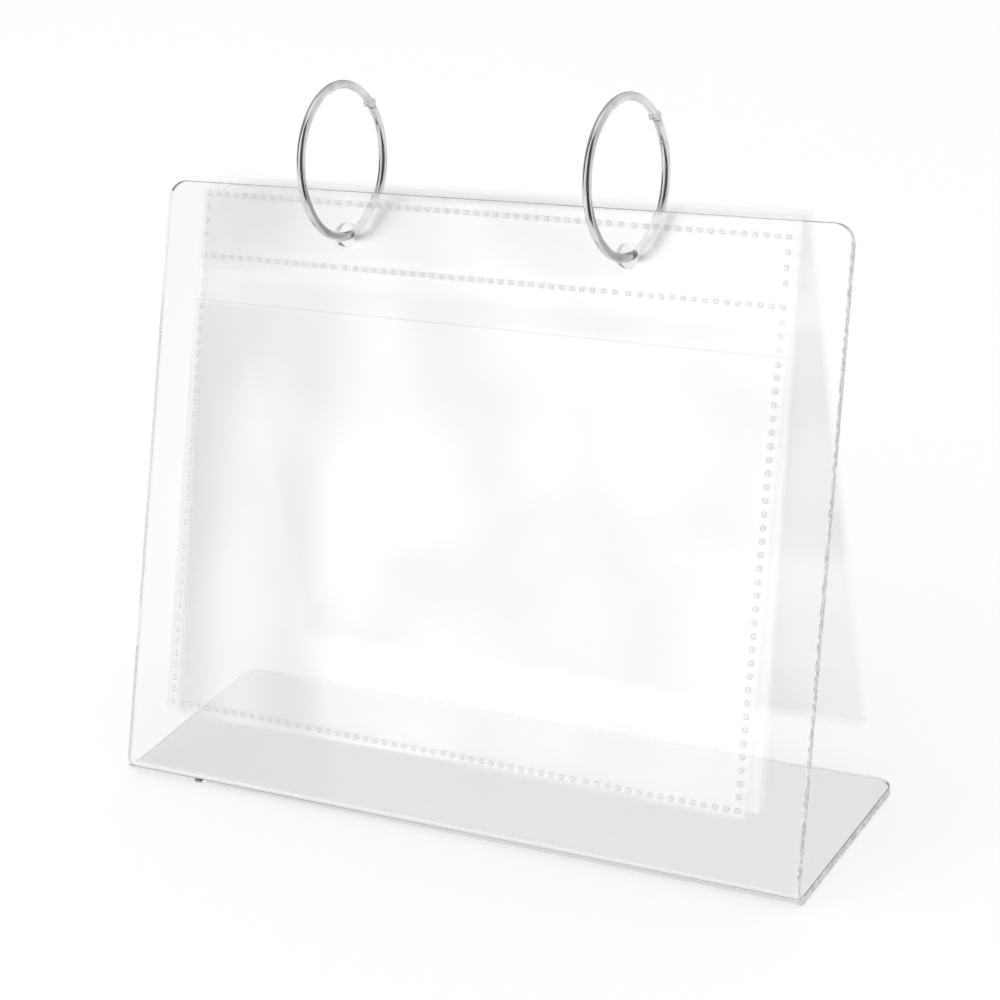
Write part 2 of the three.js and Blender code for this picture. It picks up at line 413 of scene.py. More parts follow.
def meshFromArrays(name, points, faceSets):
    mesh = bpy.data.meshes.new(name)
    mesh.vertices.add(len(points))
    mesh.vertices.foreach_set("co", np.asarray(points, np.float32).ravel())
    loops = np.concatenate([faces.ravel() for faces in faceSets])
    sizes = np.concatenate([np.full(len(faces), faces.shape[1]) for faces in faceSets])
    mesh.loops.add(len(loops))
    mesh.loops.foreach_set("vertex_index", loops.astype(np.int32))
    mesh.polygons.add(len(sizes))
    starts = np.concatenate(([0], np.cumsum(sizes)[:-1]))
    mesh.polygons.foreach_set("loop_start", starts.astype(np.int32))
    mesh.update(calc_edges=True)
    mesh.validate()
    return mesh


def smoothStep(value, low, high):
    share = np.clip((value - low) / (high - low), 0, 1)
    return share * share * (3 - 2 * share)


# the bent stand, cut as a flat sheet and then bent
stand = {
    "width": 194.0,
    "panelHeight": 157.0,
    "lean": 24.0,
    "baseDepth": 57.0,
    "thickness": 2.0,
    "innerBend": 1.5,
    "panelCorner": 5.0,
    "baseCorner": 4.5,
    "hole": 6.0,
    "holeSpacing": 80.0,
    "holeBelowTop": 10.8,
    "edgeSoft": 0.3,          # the sawn edges at the right and the top
    "edgeCrisp": 0.1,
    "leftEdgeAtTop": 1.1,     # the left edge isn't quite square in the photograph
    "leftEdgeAtBend": -0.7,
    "bendSteps": 48,
    "cornerSteps": 14,
    "holeSteps": 48,
    "rimSteps": 4,
    "slimmest": 0.002,        # triangles slimmer than this share of their length are dropped
}
lean = math.radians(stand["lean"])
outerBend = stand["innerBend"] + stand["thickness"]
bendReach = outerBend / math.tan((math.pi / 2 - lean) / 2)
footMiddle = (bendReach + stand["baseDepth"]) / 2
footLength = stand["baseDepth"] - bendReach
bendTurn = math.pi / 2 + lean
bendLength = outerBend * bendTurn
sheetLength = footLength + bendLength + stand["panelHeight"] - bendReach


def onStand(x, along, deep):
    # along runs from the foot's back edge to the panel's top; deep goes from the outer face inwards
    if along <= footLength:
        return (x, stand["baseDepth"] - along - footMiddle, deep)
    if along <= footLength + bendLength:
        turn = 1.5 * math.pi - bendTurn * (along - footLength) / bendLength
        reach = outerBend - deep
        return (x, bendReach - footMiddle + reach * math.cos(turn), outerBend + reach * math.sin(turn))
    height = along - footLength - bendLength + bendReach
    return (x, height * math.sin(lean) + deep * math.cos(lean) - footMiddle,
            height * math.cos(lean) - deep * math.sin(lean))


def leftEdge(along):
    bendEnd = footLength + bendLength
    if along <= bendEnd:
        return -stand["width"] / 2 + stand["leftEdgeAtBend"] * along / bendEnd
    share = (along - bendEnd) / (sheetLength - bendEnd)
    return -stand["width"] / 2 + stand["leftEdgeAtBend"] * (1 - share) + stand["leftEdgeAtTop"] * share


def arcPoints(centre, radius, start, end, steps):
    points = []
    for step in range(steps + 1):
        turn = math.radians(start + (end - start) * step / steps)
        points.append((centre[0] + radius * math.cos(turn), centre[1] + radius * math.sin(turn)))
    return points


def inwardLoop(loop, inset):
    # moves each point of a closed anticlockwise loop to its left
    points = np.array(loop)
    ahead = np.roll(points, -1, 0) - points
    ahead /= np.linalg.norm(ahead, axis=1)[:, None]
    mean = ahead + np.roll(ahead, 1, 0)
    mean /= np.linalg.norm(mean, axis=1)[:, None]
    return points + inset[:, None] * np.stack([-mean[:, 1], mean[:, 0]], 1)


def buildStand(spec):
    right = spec["width"] / 2
    bendLines = [footLength + bendLength * step / spec["bendSteps"] for step in range(spec["bendSteps"] + 1)]
    steps = spec["cornerSteps"]
    foot, panel = spec["baseCorner"], spec["panelCorner"]
    outline = arcPoints((right - foot, foot), foot, -90, 0, steps)
    outline += [(right, s) for s in bendLines]
    outline += arcPoints((right - panel, sheetLength - panel), panel, 0, 90, steps)
    outline += arcPoints((leftEdge(sheetLength) + panel, sheetLength - panel), panel, 90, 180, steps)
    outline += [(leftEdge(s), s) for s in reversed(bendLines)]
    outline += arcPoints((leftEdge(0) + foot, foot), foot, 180, 270, steps)
    holeAlong = sheetLength - spec["holeBelowTop"]
    loops = [outline]
    for side in (-1, 1):
        ring = arcPoints((side * spec["holeSpacing"] / 2, holeAlong), spec["hole"] / 2, 360, 0, spec["holeSteps"])
        loops.append(ring[:-1])
    thick = spec["thickness"]
    turns = [math.radians(90 / spec["rimSteps"] * step) for step in range(spec["rimSteps"] + 1)]
    rim = [(1 - math.sin(turn), 1 - math.cos(turn), False) for turn in turns]
    rim += [(inward, down, True) for inward, down, far in reversed(rim)]
    build = bmesh.new()

    def sawn(point):
        # from 0 on the back and left edges to 1 on the right and top edges
        share = max((point[0] - right + foot) / foot, (point[1] - sheetLength + panel) / panel)
        return min(max(share, 0), 1)

    def softness(loop):
        share = np.array([sawn(point) for point in loop])
        return spec["edgeCrisp"] * (1 - share) + spec["edgeSoft"] * share

    def strip(loop):
        soft = softness(loop)
        rows = []
        for inward, down, far in rim:
            moved = inwardLoop(loop, inward * soft)
            rows.append([build.verts.new(onStand(x, s, thick - down * r if far else down * r))
                         for (x, s), r in zip(moved, soft)])
        count = len(loop)
        for first, second in zip(rows, rows[1:]):
            for i in range(count):
                j = (i + 1) % count
                face = build.faces.new((first[j], first[i], second[i], second[j]))
                face.material_index = int(sawn(loop[i]) > 0.5)

    for loop in loops:
        strip(loop)
    flat, edges = [], []
    for loop in loops:
        start = len(flat)
        moved = inwardLoop(loop, softness(loop))
        flat += [Vector(p) for p in moved]
        edges += [(start + i, start + (i + 1) % len(loop)) for i in range(len(loop))]
    firstRight = steps + 1
    firstLeft = 3 * steps + 3 + len(bendLines)
    for i in range(len(bendLines)):
        edges.append((firstRight + i, firstLeft + len(bendLines) - 1 - i))
    made = delaunay_2d_cdt(flat, edges, [], 1, 1e-6, False)
    points, faces = made[0], made[2]
    centres = [Vector((side * spec["holeSpacing"] / 2, holeAlong)) for side in (-1, 1)]

    def kept(face):
        # not inside a hole, and not a sliver along the rim
        corners = [points[i] for i in face]
        if any(all((p - c).length < spec["hole"] / 2 + spec["edgeCrisp"] + 0.01 for p in corners) for c in centres):
            return False
        longest = max((corners[i] - corners[i - 1]).length for i in range(3))
        return abs((corners[1] - corners[0]).cross(corners[2] - corners[0])) > spec["slimmest"] * longest

    faces = [face for face in faces if kept(face)]
    for deep, flip in ((0, False), (thick, True)):
        verts = [build.verts.new(onStand(p.x, p.y, deep)) for p in points]
        for face in faces:
            corners = [verts[i] for i in face]
            build.faces.new(corners[::-1] if flip else corners)
    bmesh.ops.remove_doubles(build, verts=build.verts, dist=1e-4)
    bmesh.ops.recalc_face_normals(build, faces=build.faces)
    bmesh.ops.delete(build, geom=[v for v in build.verts if not v.link_faces], context="VERTS")
    bmesh.ops.scale(build, vec=(mm, mm, mm), verts=build.verts)
    mesh = bpy.data.meshes.new("stand")
    build.to_mesh(mesh)
    build.free()
    return mesh


newPiece("stand", buildStand(stand), [clearAcrylic, acrylicEdge], "stand", "acrylic_stand",
         smoothBelow=8)
print("stand bent")

# the two rings
ring = {
    "inner": 35.0,
    "wire": 2.2,
    "forward": 4.9,
    "sideways": 1.3,
    "aboveHole": 0.3,
    "yaw": {"left": 2.4, "right": 0.0},
    "hingeAngle": 30.0,
    "eye": 2.3,
    "eyeClear": 0.26,         # round the other half's eye, so that the ring opens freely
    "eyeSides": 40,
    "rivet": 1.0,
    "rivetClear": 0.04,
    "rivetHead": ((0.06, 0.0), (0.05, 0.6), (0.0, 1.0)),      # rise and share of the radius, from the crown down
    "rivetSides": 28,
    "clasp": 2.4,
    "gap": 0.16,              # between the two halves
    "boreReach": 3.0,         # the tools that cut reach this far out of the wire
    "cutReach": 4.0,
    "sides": 32,
    "steps": 112,
    "edgeSoft": 0.07,
}
wireRadius = ring["wire"] / 2
ringRadius = ring["inner"] / 2 + wireRadius


def chordReach(offset):
    return math.sqrt(ringRadius ** 2 - offset ** 2)


ringHeight = (stand["panelHeight"] - stand["holeBelowTop"] + ring["aboveHole"]
              + chordReach(ring["forward"] + stand["thickness"] / 2))
ringY = ringHeight * math.sin(lean) - ring["forward"] * math.cos(lean) - footMiddle
ringZ = ringHeight * math.cos(lean) + ring["forward"] * math.sin(lean)


def onRing(angle, out=0.0, side=0.0):
    turn = math.radians(angle)
    return Vector((side, (ringRadius + out) * math.cos(turn), (ringRadius + out) * math.sin(turn)))


def wireArc(start, end, steps):
    # a bar swept round the ring, closed by its two ends
    build = bmesh.new()
    rows = []
    for step in range(steps + 1):
        angle = start + (end - start) * step / steps
        row = []
        for side in range(ring["sides"]):
            turn = 2 * math.pi * side / ring["sides"]
            row.append(build.verts.new(onRing(angle, wireRadius * math.cos(turn), wireRadius * math.sin(turn))))
        rows.append(row)
    count = ring["sides"]
    for first, second in zip(rows, rows[1:]):
        for i in range(count):
            j = (i + 1) % count
            build.faces.new((first[i], first[j], second[j], second[i]))
    build.faces.new(rows[0][::-1])
    build.faces.new(rows[-1])
    bmesh.ops.recalc_face_normals(build, faces=build.faces)
    return build


def circleAcross(build, middle, x, radius, sides):
    turns = [2 * math.pi * i / sides for i in range(sides)]
    return [build.verts.new(middle + Vector((x, radius * math.cos(turn), radius * math.sin(turn)))) for turn in turns]


def barAcross(angle, radius, start, end):
    # a round bar along X at an angle of the ring
    build = bmesh.new()
    sides = ring["eyeSides"]
    rows = [circleAcross(build, onRing(angle), x, radius, sides) for x in (start, end)]
    for i in range(sides):
        j = (i + 1) % sides
        build.faces.new((rows[0][i], rows[0][j], rows[1][j], rows[1][i]))
    build.faces.new(rows[0])
    build.faces.new(rows[1])
    bmesh.ops.recalc_face_normals(build, faces=build.faces)
    return build


def blockAt(angle, low, high):
    # a block in the ring's own directions: X, outwards, along the wire
    build = bmesh.new()
    turn = math.radians(angle)
    out = Vector((0, math.cos(turn), math.sin(turn)))
    along = Vector((0, -math.sin(turn), math.cos(turn)))
    corners = {}
    for i, x in enumerate((low[0], high[0])):
        for j, o in enumerate((low[1], high[1])):
            for k, a in enumerate((low[2], high[2])):
                corners[i, j, k] = build.verts.new(onRing(angle) + Vector((x, 0, 0)) + out * o + along * a)
    for axis in range(3):
        for side in (0, 1):
            quad = []
            for first, second in ((0, 0), (0, 1), (1, 1), (1, 0)):
                key = [first, second]
                key.insert(axis, side)
                quad.append(corners[tuple(key)])
            build.faces.new(quad)
    bmesh.ops.recalc_face_normals(build, faces=build.faces)
    return build


def toObject(name, build):
    mesh = bpy.data.meshes.new(name)
    build.to_mesh(mesh)
    build.free()
    made = bpy.data.objects.new(name, mesh)
    bpy.context.scene.collection.objects.link(made)
    return made


def combine(base, tool, operation):
    cut = base.modifiers.new(operation, "BOOLEAN")
    cut.operation = operation
    cut.solver = "EXACT"
    cut.object = tool
    graph = bpy.context.evaluated_depsgraph_get()
    mesh = bpy.data.meshes.new_from_object(base.evaluated_get(graph))
    base.modifiers.clear()
    base.data = mesh
    bpy.data.objects.remove(tool)


def softened(base, width):
    bevel = base.modifiers.new("soften", "BEVEL")
    bevel.width = width
    bevel.segments = 2
    bevel.limit_method = "ANGLE"
    bevel.angle_limit = math.radians(40)
    bevel.use_clamp_overlap = True
    graph = bpy.context.evaluated_depsgraph_get()
    mesh = bpy.data.meshes.new_from_object(base.evaluated_get(graph))
    bpy.data.objects.remove(base)
    return mesh


def ringHalf(name, side):
    # side is where the eye and the clasp tongue lie: -1 for the lower half, 1 for the gate above it
    hinge, clasp = ring["hingeAngle"], ring["hingeAngle"] + 180
    overlap = math.degrees((ring["clasp"] / 2 - ring["gap"] / 2) / ringRadius)
    span = (clasp - overlap, hinge + 360) if side < 0 else (hinge, clasp + overlap)
    half = toObject(name, wireArc(*span, ring["steps"]))
    eye = ring["eye"] / 2
    low, high = sorted((side * ring["gap"] / 2, side * wireRadius))
    cutLow, cutHigh = sorted((side * ring["gap"] / 2, -side * 2 * wireRadius))
    combine(half, toObject("cutEye", barAcross(hinge, eye + ring["eyeClear"], cutLow, cutHigh)), "DIFFERENCE")
    combine(half, toObject("eye", barAcross(hinge, eye, low, high)), "UNION")
    past = ring["cutReach"]
    bore, through = ring["rivet"] / 2 + ring["rivetClear"], ring["boreReach"]
    combine(half, toObject("bore", barAcross(hinge, bore, -through, through)), "DIFFERENCE")
    stepLow, stepHigh = sorted((side * ring["gap"] / 2, -side * past))
    reach = ring["clasp"] / 2
    combine(half, toObject("step", blockAt(clasp, (stepLow, -past, -reach), (stepHigh, past, reach))), "DIFFERENCE")
    return softened(half, ring["edgeSoft"])


def rivetMesh():
    # a pin with a low domed head on each end
    build = bmesh.new()
    middle = onRing(ring["hingeAngle"])
    sides = ring["rivetSides"]
    head = [(wireRadius + rise, share * ring["rivet"] / 2) for rise, share in ring["rivetHead"]]
    profile = [(-x, reach) for x, reach in head] + head[::-1]
    rows = [circleAcross(build, middle, x, reach, sides) if reach else [build.verts.new(middle + Vector((x, 0, 0)))]
            for x, reach in profile]
    for first, second in zip(rows, rows[1:]):
        for i in range(sides):
            j = (i + 1) % sides
            if len(first) == 1:
                build.faces.new((first[0], second[j], second[i]))
            elif len(second) == 1:
                build.faces.new((first[i], first[j], second[0]))
            else:
                build.faces.new((first[i], first[j], second[j], second[i]))
    bmesh.ops.recalc_face_normals(build, faces=build.faces)
    mesh = bpy.data.meshes.new("rivet")
    build.to_mesh(mesh)
    build.free()
    return mesh


def addRings():
    parts = {
        "lower_half": (ringHalf("lowerHalf", -1), ""),
        "upper_half": (ringHalf("upperHalf", 1), "_gate"),
        "hinge_rivet": (rivetMesh(), ""),
    }
    for side, x in (("left", -1), ("right", 1)):
        turn = Matrix.Rotation(math.radians(ring["yaw"][side]), 4, "Z")
        centre = Vector((x * stand["holeSpacing"] / 2 + ring["sideways"], ringY, ringZ)) * mm
        place = Matrix.Translation(centre) @ turn @ Matrix.Scale(mm, 4)
        for part, (mesh, ending) in parts.items():
            own = mesh.copy()
            own.transform(place)
            newPiece(f"ring_{side}_{part}_wire", own, [nickelWire], f"ring_{side}{ending}",
                     f"ring_{side}_{part}", smoothBelow=30)


addRings()
print("rings closed")

# the pocket sleeves
sleeve = {
    "width": 167.4,
    "top": 10.3,          # above the line of the punched holes
    "bottom": -124.0,
    "stripBottom": -9.0,
    "mouth": -18.3,
    "punch": 5.5,
    "thickness": 0.13,
    "cadFilm": 0.15,      # the film's thickness in the frame, which sets where the sleeves lie
    "half": 0.175,        # from the sleeve's middle to the middle of each film
    "panelGap": 0.3,
    "pitch": 0.7,
    "holeFrame": 3.5,     # the lines of the mesh run this far beside a hole
    "headerRows": (7.1, 3.48, 0, -3.48, -5.5, -8.7),
    "mouthLip": 0.35,
    "bottomSeam": (-120.5, -123.7),
    "sideSeam": 0.7,
    "outerColumns": 15,
    "innerColumns": 27,
    "rowsToMouth": 4,
    "pocketRows": 34,
    "narrowest": 2.5,     # cells narrower or lower than these take no weld dot
    "lowest": 2.6,
    "lowestInSeam": 3.0,
    "punchSteps": 24,
    "dotLong": 1.25,
    "dotShort": 1.1,
    "dotRidge": 0.035,
    "dotDip": 0.06,
    "dotRings": ((1.3, 0.0, 0.0), (1.05, 1.0, 1.0), (0.85, 0.0, 0.6), (0.6, -1.0, 0.3)),     # size, height, weld mask, which paints grey shade strongest at the ridge
    "weldReliefAndShade": (1.0, 0.12, 0.04, 0.04, 0.04),      # how sharp the welds look, in relief and in their painted grey shade, from the top sleeve down
}
# how each sleeve hangs: sideways, below the wire, swing in its own plane
frontHang = [(-0.4, 0.35, -1), (0.3, 0.6, 0.6), (0.5, 0.3, 1.2), (0.4, 0.5, 0.8), (0, 0.7, -0.4)]
backHang = [(-0.7, 1.1, 0), (-0.4, 1.1, 0.15), (-0.8, 1.15, -0.2), (-0.5, 1.15, 0.1), (-0.2, 1, 0)]


def columnLines():
    edge, hole, frame = sleeve["width"] / 2, stand["holeSpacing"] / 2, sleeve["holeFrame"]
    outer = np.linspace(hole + frame, edge - sleeve["sideSeam"], sleeve["outerColumns"])
    inner = np.linspace(frame - hole, hole - frame, sleeve["innerColumns"])
    return np.concatenate([[-edge], -outer[::-1], [-hole], inner, [hole], outer, [edge]])


def rowLines():
    header = [sleeve["top"], *sleeve["headerRows"], sleeve["stripBottom"]]
    toMouth = np.linspace(sleeve["stripBottom"], sleeve["mouth"], sleeve["rowsToMouth"])[1:]
    seamTop, seamBottom = sleeve["bottomSeam"]
    pocket = np.linspace(sleeve["mouth"], seamTop, sleeve["pocketRows"])[1:]
    return np.concatenate([header, toMouth, [sleeve["mouth"] - sleeve["mouthLip"]], pocket,
                           [seamBottom, sleeve["bottom"]]])


columns, rows = columnLines(), rowLines()
holeRow = 3                                             # the row line through the punched holes
headerRows = len(sleeve["headerRows"]) + 1
mouthRow = headerRows + sleeve["rowsToMouth"] - 1
seamRows = (0, 5, len(rows) - 3)                        # two in the header and one at the bottom
holeColumns = [int(np.argmin(abs(columns - side * stand["holeSpacing"] / 2))) - 1 for side in (-1, 1)]
cornerPoints = 3                                        # at each corner of a weld dot
dotPoints = 4 * cornerPoints


def dotRing(grow, long, short):
    # a rounded rectangle, anticlockwise from its lower right corner
    a, b = grow * long / 2, grow * short / 2
    corner = 0.75 * b
    points = []
    for side, (x, y) in enumerate(((1, -1), (1, 1), (-1, 1), (-1, -1))):
        for step in range(cornerPoints):
            turn = math.radians(-90 + 90 * side + 90 * step / (cornerPoints - 1))
            points.append((x * (a - corner) + corner * math.cos(turn), y * (b - corner) + corner * math.sin(turn)))
    return np.array(points)


def filmPattern(firstRow, lastRow, punched, dip):
    # the flat film between two row lines, with its welds and punched holes: points, relief, the mask of welds and
    # painted shade, and faces
    vLines = rows[firstRow:lastRow + 1]
    nu, nv = len(columns), len(vLines)
    uu, vv = np.meshgrid(columns, vLines)
    points = np.stack([uu.ravel(), vv.ravel()], 1)
    relief = np.zeros(len(points))
    weldAndShade = np.zeros(len(points))
    if firstRow == mouthRow:
        weldAndShade[:nu] = 1        # painted shade: the cut edge of the pocket's mouth is painted as a grey line

    def corner(r, c):
        return r * nu + c

    quads, triangles, caps = [], [], []
    extra, extraRelief, extraWeldAndShade = [], [], []
    count = len(points)
    heights = vLines[:-1] - vLines[1:]
    for r in range(nv - 1):
        row = firstRow + r
        seamRow = row in seamRows
        middleV = (vLines[r] + vLines[r + 1]) / 2
        for c in range(nu - 1):
            if punched and row in (holeRow - 1, holeRow) and any(c in (h, h + 1) for h in holeColumns):
                continue
            q = [corner(r + 1, c + 1), corner(r, c + 1), corner(r, c), corner(r + 1, c)]
            width = columns[c + 1] - columns[c]
            sideColumn = c in (1, nu - 3) and heights[r] > sleeve["lowest"]
            plain = not (seamRow or sideColumn) or (seamRow and heights[r] < sleeve["lowestInSeam"])
            if plain or width < sleeve["narrowest"]:
                quads.append(q)
                continue
            upright = sideColumn and not seamRow
            middleU = (columns[c] + columns[c + 1]) / 2
            ringStart = count
            for grow, high, mask in sleeve["dotRings"]:
                dot = dotRing(grow, sleeve["dotLong"], sleeve["dotShort"])
                if upright:
                    dot = np.roll(np.stack([-dot[:, 1], dot[:, 0]], 1), cornerPoints, 0)
                extra.append(dot + (middleU, middleV))
                extraRelief += [-dip * high * (sleeve["dotRidge"] if high > 0 else sleeve["dotDip"])] * dotPoints
                extraWeldAndShade += [mask] * dotPoints
                count += dotPoints
            for j in range(4):
                base = ringStart + cornerPoints * j
                after = ringStart + cornerPoints * (j + 1) % dotPoints
                triangles += [[base, q[j], base + 1], [base + 1, q[j], base + 2]]
                quads.append([q[j], q[(j + 1) % 4], after, base + 2])
            for level in range(len(sleeve["dotRings"]) - 1):
                a = ringStart + dotPoints * level
                quads += [[a + i, a + (i + 1) % dotPoints, a + dotPoints + (i + 1) % dotPoints, a + dotPoints + i]
                          for i in range(dotPoints)]
            caps.append([count - dotPoints + i for i in range(dotPoints)])
    if punched:
        line = holeRow - firstRow
        steps = sleeve["punchSteps"]
        for h in holeColumns:
            rim = [corner(line, h + 2), corner(line - 1, h + 2), corner(line - 1, h + 1), corner(line - 1, h),
                   corner(line, h), corner(line + 1, h), corner(line + 1, h + 1), corner(line + 1, h + 2)]
            turns = 2 * math.pi * np.arange(steps) / steps
            extra.append(np.stack([columns[h + 1] + sleeve["punch"] / 2 * np.cos(turns),
                                   sleeve["punch"] / 2 * np.sin(turns)], 1))
            extraRelief += [0.0] * steps
            extraWeldAndShade += [0.0] * steps
            for k in range(8):        # three points of the hole belong to each point of the frame round it
                before, at, after = count + (3 * k - 1) % steps, count + 3 * k, count + 3 * k + 1
                nextBefore = count + (3 * k + 2) % steps
                triangles += [[before, rim[k], at], [at, rim[k], after]]
                quads.append([rim[k], rim[(k + 1) % 8], nextBefore, after])
            count += steps
    points = np.concatenate([points] + extra)
    relief = np.concatenate([relief, extraRelief])
    weldAndShade = np.concatenate([weldAndShade, extraWeldAndShade])
    faceSets = [np.array(faces) for faces in (quads, triangles, caps) if faces]
    used = np.unique(np.concatenate([faces.ravel() for faces in faceSets]))
    renumber = np.full(len(points), -1)
    renumber[used] = np.arange(len(used))
    return points[used], relief[used], weldAndShade[used], [renumber[faces] for faces in faceSets]


patterns = {
    "back_film": filmPattern(0, len(rows) - 1, True, 1.0),
    "binding_strip": filmPattern(0, headerRows, True, -1.0),
    "pocket_film": filmPattern(mouthRow, len(rows) - 1, False, -1.0),
}

wave = {
    "frontBulge": 0.5,
    "frontRidges": [(47.0, 0.9, 0.09, 0.10), (29.0, 2.4, 0.04, -0.07), (88.0, 4.4, 0.15, 0.05)],
    "backBulge": 0.3,
    "backRidges": [(70.0, 2.0, 0.12, 0.05), (45.0, 0.4, 0.05, -0.04)],       # length, phase, size, slant
    "flatHeader": (4.0, 42.0),      # the swell starts and is full this far below the holes
    "edgePower": 8,                 # how sharply it falls off towards the sides
    "even": 0.55,                   # the share of the bulge that is the same all the way down
}


def lift(bundle, u, v):
    # how far the outermost film stands off from flat; films under it follow by their place in the bundle
    below = smoothStep(-v, *wave["flatHeader"])
    across = 1 - np.abs(u / (sleeve["width"] / 2)) ** wave["edgePower"]
    down = np.sin(np.pi * np.clip(v / sleeve["bottom"], 0, 1))
    total = wave[bundle + "Bulge"] * below * across * (wave["even"] + (1 - wave["even"]) * down)
    for length, phase, size, slant in wave[bundle + "Ridges"]:
        total = total + size * below * (1 + np.sin(2 * np.pi * (u + slant * v) / length + phase))
    return total


def addFilm(bundle, index, film, place, share):
    points, relief, weldAndShade, faceSets = patterns[film]
    u, v = points[:, 0], points[:, 1]
    outwards = 1 if bundle == "front" else -1
    offset = -sleeve["half"] if film == "back_film" else sleeve["half"]
    crisp = sleeve["weldReliefAndShade"][len(frontHang) - 1 - index] if bundle == "front" else sleeve["weldReliefAndShade"][-1]
    middle = offset + crisp * relief + outwards * share * lift(bundle, u, v)
    count = len(points)
    layers = [np.stack([u, v, middle + side * sleeve["thickness"] / 2], 1) for side in (1, -1)]
    local = np.concatenate(layers)
    turn = np.array(place.to_3x3())
    world = (local @ turn.T + np.array(place.translation)) * mm
    edges = np.concatenate([np.stack([faces, np.roll(faces, -1, 1)], 2).reshape(-1, 2) for faces in faceSets])
    codes = edges[:, 0] * count + edges[:, 1]
    backwards = edges[:, 1] * count + edges[:, 0]
    rim = edges[~np.isin(codes, backwards)]
    walls = np.stack([rim[:, 1], rim[:, 0], rim[:, 0] + count, rim[:, 1] + count], 1)
    allFaces = faceSets + [faces[:, ::-1] + count for faces in faceSets] + [walls]
    name = f"{bundle}_sleeve_{index + 1}_{film}"
    mesh = meshFromArrays(name, world, allFaces)
    # the mask of welds and painted grey shade, scaled by how sharp the welds are
    mask = mesh.attributes.new("weldAndShade", "FLOAT", "POINT")
    mask.data.foreach_set("value", np.concatenate([weldAndShade, weldAndShade]).astype(np.float32) * crisp)
    piece = newPiece(name + "_sheet", mesh, [clearFilm[bundle]], f"{bundle}_sleeve_{index + 1}", name,
                     smoothBelow=50)
    piece.visible_shadow = False


def addBundle(bundle, tilt, hangs, firstDepth, pitch):
    centre = Matrix.Translation((0, ringY, ringZ)) @ Matrix.Rotation(tilt, 4, "X")
    for index, (sideways, drop, swing) in enumerate(hangs):
        depth = firstDepth + index * pitch
        place = (centre @ Matrix.Translation((ring["sideways"] + sideways, -chordReach(depth) - drop, -depth))
                 @ Matrix.Rotation(math.radians(swing), 4, "Z"))
        for film in patterns:
            above = film != "back_film" if bundle == "front" else film == "back_film"
            addFilm(bundle, index, film, place, (2 * index + (2 if above else 1)) / (2 * len(hangs)))


halfSleeve = sleeve["half"] + sleeve["cadFilm"] / 2
addBundle("front", math.pi / 2 - lean, frontHang, ring["forward"] - sleeve["panelGap"] - halfSleeve, -sleeve["pitch"])
panelTopBack = stand["panelHeight"] * math.sin(lean) + stand["thickness"] * math.cos(lean) - footMiddle
addBundle("back", math.pi / 2, backHang, panelTopBack - ringY + sleeve["panelGap"] + halfSleeve, sleeve["pitch"])
print("sleeves hung")

# floor, studio and lamps
studio = {
    "plain": 0.9,           # what lights dull surfaces
    "base": 0.8,
    "zones": [              # azimuth from the front to the right, elevation, softness, level
        (-170.0, -80.0, 4.0, 64.0, 3.0, 0.5),
        (-80.0, -41.0, 4.0, 64.0, 3.5, 0.15),
        (-37.5, -16.0, 10.0, 64.0, 4.0, 1.35),
        (-35.0, -18.0, 2.0, 10.0, 3.0, 1.35),
        (14.0, 80.0, -6.0, 64.0, 6.0, 0.1),
        (120.0, 240.0, 15.0, 64.0, 8.0, 0.8),
    ],
    "overhead": (64.0, 72.0, 1.1),
    "horizon": (0.5, -0.5, 1.0),
    "floorGlow": 0.68,
    "darkFloor": (14.0, 80.0, 0.2, 40.0, 0.08),     # azimuth and distance in front of the object, level
    "darkFloorEdge": 0.06,
    "floorColour": (0.9, 0.9, 0.9, 1.0),
    "floorReach": 20.0,
    "floorDrop": 0.0002,
    "key": {"place": (-0.7, -0.8, 1.5), "aim": (0, 0, 0.06), "size": 1.1, "energy": 12.0},
}


